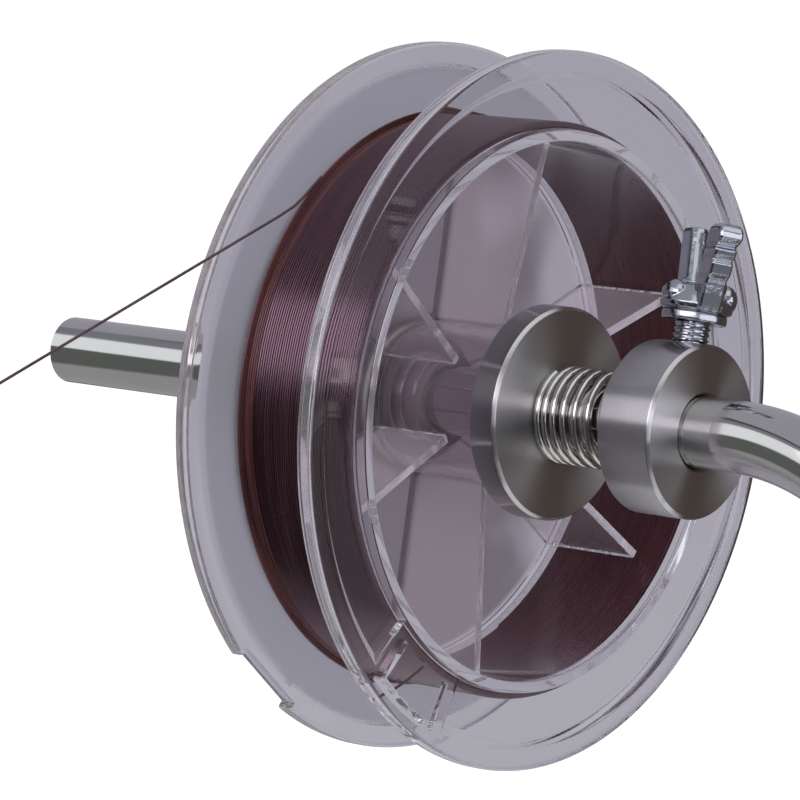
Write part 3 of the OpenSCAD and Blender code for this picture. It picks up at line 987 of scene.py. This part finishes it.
def make_spring(material):
    points = spring_points()
    middle = len(points) // 2
    halves = []
    for name, part in (("spring_disc_half", points[:middle + 1]), ("spring_collar_half", points[middle:])):
        refs = [Vector((0, p.y, p.z - SHAFT_Z)).normalized() for p in part]
        half = make(name, *tube_mesh(part, SPRING_WIRE, 12, refs))
        halves.append(settle(half, material, ["tension_spring"]))
    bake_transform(halves[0])
    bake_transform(halves[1])


# Wing bolt
BOLT_R = 2.5
BOLT_PITCH = 0.8
BOLT_SHOW = 2.8
BOLT_SEAT = 12.0
WASHER_H = BOLT_SEAT + BOLT_SHOW
WASHER_R = 4.5
WASHER_T = 1.3
HEAD_H0 = WASHER_H + WASHER_T
WING_TURN = math.radians(-33.5)


def bolt_lathe(name, outline, closed=False):
    """A body about the bolt's axis from an outline of r and h, which starts and ends on the axis or
    is closed."""
    segments = 96
    count = len(outline)
    verts = [on_bolt(r * math.cos(TURN * k / segments), r * math.sin(TURN * k / segments), h)
             for k in range(segments) for r, h in outline]
    faces = []
    for k in range(segments):
        a, b = k * count, (k + 1) % segments * count
        for i in range(count if closed else count - 1):
            j = (i + 1) % count
            faces.append((a + i, a + j, b + j, b + i))
    return make(name, verts, faces, weld=0.0005)


def make_stud(material):
    """A stud with a real helical thread."""
    foot, top = ROD_R + 0.05, HEAD_H0 + 3.2
    depth, lead_in = 0.24, 0.6
    crest, flank = 1.35, 4
    steps, rows = 48, 6
    verts, faces = [], []
    levels = int((top - foot) / BOLT_PITCH * rows)
    for i in range(levels + 1):
        for k in range(steps):
            angle = TURN * k / steps
            h = foot + (top - foot) * i / levels
            wave = (h / BOLT_PITCH - k / steps) % 1.0
            tooth = min(1.0, max(0.0, crest - abs(wave - 0.5) * flank))
            fade_in = min(1.0, (h - foot) / lead_in)
            r = BOLT_R - depth + depth * tooth * fade_in
            verts.append(on_bolt(r * math.cos(angle), r * math.sin(angle), h))
    for i in range(levels):
        for k in range(steps):
            j = (k + 1) % steps
            faces.append((i * steps + k, i * steps + j, (i + 1) * steps + j, (i + 1) * steps + k))
    faces.append(tuple(range(steps)))
    faces.append(tuple(range(levels * steps, (levels + 1) * steps)))
    stud = make("bolt_stud", verts, faces)
    settle(stud, material, ["wing_bolt_stud"], "wing_bolt", 30)


def make_washer(material):
    inner, h0, h1 = BOLT_R + RUN_GAP, WASHER_H, WASHER_H + WASHER_T
    outline = rounded([(inner, h0, 0.1), (WASHER_R, h0, 0.35), (WASHER_R, h1, 0.35), (inner, h1, 0.1)])
    washer = bolt_lathe("bolt_washer_ring", [(p.x, p.y) for p in outline], closed=True)
    settle(washer, material, ["wing_bolt_washer"], "bolt_washer", 40, True)


def head_point(x, y, z):
    """A point in the wing head's frame: x along the wings, z up from its foot."""
    turned = Matrix.Rotation(WING_TURN, 3, "Z") @ Vector((x, y, 0))
    return on_bolt(turned.x, turned.y, HEAD_H0 + z)


# Levels of the wings: height, inner and outer edge from the bolt's axis, and half thickness
NEAR_WING = [
    (0.6, 0.4, 5.4, 1.6), (2.4, 0.8, 5.9, 1.6), (3.9, 1.4, 6.2, 1.6), (4.6, 1.7, 6.6, 1.55),
    (5.2, 1.9, 7.3, 1.6), (6.6, 2.4, 7.75, 1.6), (7.2, 2.5, 7.5, 1.5), (7.8, 2.7, 8.1, 1.6),
    (8.5, 2.9, 8.3, 1.6), (9.0, 3.0, 7.9, 1.45), (9.5, 3.1, 8.9, 1.6), (10.1, 3.3, 9.5, 1.68),
    (10.9, 3.5, 9.5, 1.7), (11.5, 3.7, 9.2, 1.6), (12.0, 4.4, 8.5, 1.35), (12.15, 5.4, 7.8, 0.9)]
FAR_WING = [
    (0.6, 0.4, 5.4, 1.35), (3.0, 1.3, 6.0, 1.35), (6.0, 2.2, 6.8, 1.35), (9.0, 3.1, 7.6, 1.35),
    (11.4, 3.7, 8.2, 1.35), (11.95, 4.0, 7.9, 1.2), (12.15, 4.7, 7.2, 0.85)]
FAR_SKEW = 0.04
# Outline of the head's foot: radius and height
HEAD_FOOT = [(0, 0), (4.4, 0), (5.0, 0.4), (5.1, 1.1), (4.3, 2.2), (3.3, 3.4), (2.0, 4.0), (0, 4.1)]
# Lobes and bosses of the head: place and size
HEAD_LUMPS = [
    ((0.4, 3.5, 2.3), (2.6, 1.95, 2.25)), ((0.2, -3.3, 2.2), (2.4, 1.9, 1.9)),
    ((3.0, 0.4, 2.6), (2.0, 2.3, 1.9)), ((-2.9, -0.6, 2.8), (1.9, 2.4, 2.0)),
    ((3.9, 1.3, 3.6), (1.3, 1.2, 1.5))]


def wing_plate(side):
    """One wing that leans outward, with a rounded inner edge. The near one's outer edge is stepped."""
    levels = NEAR_WING if side > 0 else FAR_WING
    arc, nick = 9, 0.3
    count = 4 + arc + 1
    verts = []
    for z, inner, outer, half in levels:
        depth = min(1.3, (outer - inner) / 2)
        shift = 0 if side > 0 else FAR_SKEW * z
        section = [(outer - nick, -half), (outer, -half + nick), (outer, half - nick), (outer - nick, half)]
        for k in range(arc + 1):
            angle = math.pi * k / arc
            section.append((inner + depth - depth * math.sin(angle), half * math.cos(angle)))
        verts += [head_point(side * x, y + shift, z) for x, y in section]
    faces = [tuple(range(count)), tuple((len(levels) - 1) * count + k for k in range(count))]
    for i in range(len(levels) - 1):
        for k in range(count):
            j = (k + 1) % count
            faces.append((i * count + k, i * count + j, (i + 1) * count + j, (i + 1) * count + k))
    return make("wing", verts, faces)


def blob(place, size):
    """A rounded lump in the wing head's frame."""
    rows, cols = 10, 20
    verts = []
    for i in range(rows + 1):
        rise = math.pi * i / rows - QUARTER
        for k in range(cols):
            angle = TURN * k / cols
            verts.append(head_point(place[0] + size[0] * math.cos(rise) * math.cos(angle),
                                    place[1] + size[1] * math.cos(rise) * math.sin(angle),
                                    place[2] + size[2] * math.sin(rise)))
    faces = []
    for i in range(rows):
        for k in range(cols):
            j = (k + 1) % cols
            faces.append((i * cols + k, i * cols + j, (i + 1) * cols + j, (i + 1) * cols + k))
    return make("blob", verts, faces, weld=0.0005)


def make_head(material):
    """Cast head: foot, lobes, bosses and two wings, melted together and smoothed."""
    body = bolt_lathe("wing_head", [(r, HEAD_H0 + h) for r, h in HEAD_FOOT])
    for place, size in HEAD_LUMPS:
        combine(body, blob(place, size), "UNION")
    for side in (1, -1):
        combine(body, wing_plate(side), "UNION")
    melt = body.modifiers.new("melt", "REMESH")
    melt.mode = "VOXEL"
    melt.voxel_size = 0.11
    bake(body)
    soft = body.modifiers.new("soft", "SMOOTH")
    soft.factor = 0.5
    soft.iterations = 2
    bake(body)
    settle(body, material, ["wing_bolt_wings"], "wing_bolt", 180)


# Rear stop
def make_rear(steel, nylon, black):
    """What stops the spool from sliding off: a collar with its screw, and a washer."""
    x0, x1 = low("rear_stop_collar", 0), high("rear_stop_collar", 0)
    collar = turned_ring("stop_collar", x0, x1, radius("rear_stop_collar"), BORE_R, STEEL_EDGE)
    foot = Vector(((x0 + x1) / 2, 0, SHAFT_Z))
    hole = make("hole", *tube_mesh([foot, foot + Vector((0, 0, 15))], TAPPED_R, 48))
    combine(collar, hole, "DIFFERENCE")
    settle(collar, steel, ["rear_stop_collar"], "root", 20, True)
    x0, x1 = low("rear_thrust_washer", 0), high("rear_thrust_washer", 0)
    washer = turned_ring("thrust_washer", x0, x1, radius("rear_thrust_washer"), BORE_R, 0.2)
    settle(washer, nylon, ["rear_thrust_washer"], "root", 20)
    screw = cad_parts["rear_grub_screw"]
    screw.data.materials.clear()
    screw.data.materials.append(black)


make_camera()
# The same nylon in several tones, as painted light and shade: the lower turns inside the barrel are painted
# lighter, the outer turns painted near black, and the edge turns and the free line lie between.
painted_light_inner_line = line_material("maroon_inner_painted_light", dark=(0.075, 0.021, 0.022, 1),
                           light=(0.125, 0.038, 0.041, 1), rough=0.45, shine=0.12)
edge_line = line_material("maroon_edge", dark=(0.045, 0.017, 0.015, 1),
                          light=(0.095, 0.036, 0.033, 1), rough=0.22, shine=0.6)
painted_dark_outer_line = line_material("maroon_outer_painted_dark", dark=(0.008, 0.0025, 0.0025, 1),
                           light=(0.024, 0.008, 0.008, 1), rough=0.16, shine=1.0, ior=1.66)
free_line = line_material("maroon_run", dark=(0.040, 0.026, 0.027, 1),
                          light=(0.070, 0.048, 0.050, 1), rough=0.25, shine=0.5)
make_free_line(free_line)
make_world()
make_floor()
make_lamps()

bright = metal("bright_drawn_steel", (0.62, 0.61, 0.60, 1), rough=0.09, spread=0.03,
               grain=rod_grain, grain_scale=3.0, bump=0.000002)
turned = metal("turned_steel", (0.62, 0.615, 0.62, 1), rough=0.38, spread=0.03, grain=lathe_grain,
               grain_scale=9000.0, bump=0.0000006, anisotropic=0.94, side_rough=0.24)
wire = metal("spring_wire", (0.66, 0.65, 0.62, 1), rough=0.10, spread=0.03,
             grain=plain_grain, grain_scale=900.0, bump=0.000004)
zinc = metal("zinc_plated_casting", (0.50, 0.525, 0.575, 1), rough=0.15, spread=0.06,
             grain=plain_grain, grain_scale=380.0, bump=0.00010)
black = metal("black_oxide", (0.05, 0.05, 0.052, 1), rough=0.42, spread=0.08,
              grain=plain_grain, grain_scale=900.0, bump=0.00002)
nylon = nylon_material()
# The whitened rim edge of each flange is partly wear and partly a painted highlight of the rim.
clear = clear_plastic("clear_polystyrene", (0.995, 0.99, 1.0, 1), rough=0.02, gleam=WHITE, edge_wear_and_highlight=0.06)
moulded = clear_plastic("matt_backed_polystyrene", (0.985, 0.975, 0.985, 1), rough=0.03,
                        gleam=(0.6, 0.45, 0.5, 1), edge_wear_and_highlight=0.13, frosted=True)

make_rod(bright)
make_moulding(moulded)
make_front_flange(clear)
make_line(painted_light_inner_line, edge_line, painted_dark_outer_line)
make_tuck(free_line)
make_disc(turned)
make_spring(wire)
make_collar(turned)
make_stud(zinc)
make_washer(zinc)
make_head(zinc)
make_rear(turned, nylon, black)

cycles = bpy.context.scene.cycles
cycles.max_bounces = 32
cycles.transmission_bounces = 28
cycles.glossy_bounces = 12
cycles.transparent_max_bounces = 24
bpy.context.scene.view_settings.view_transform = "Standard"
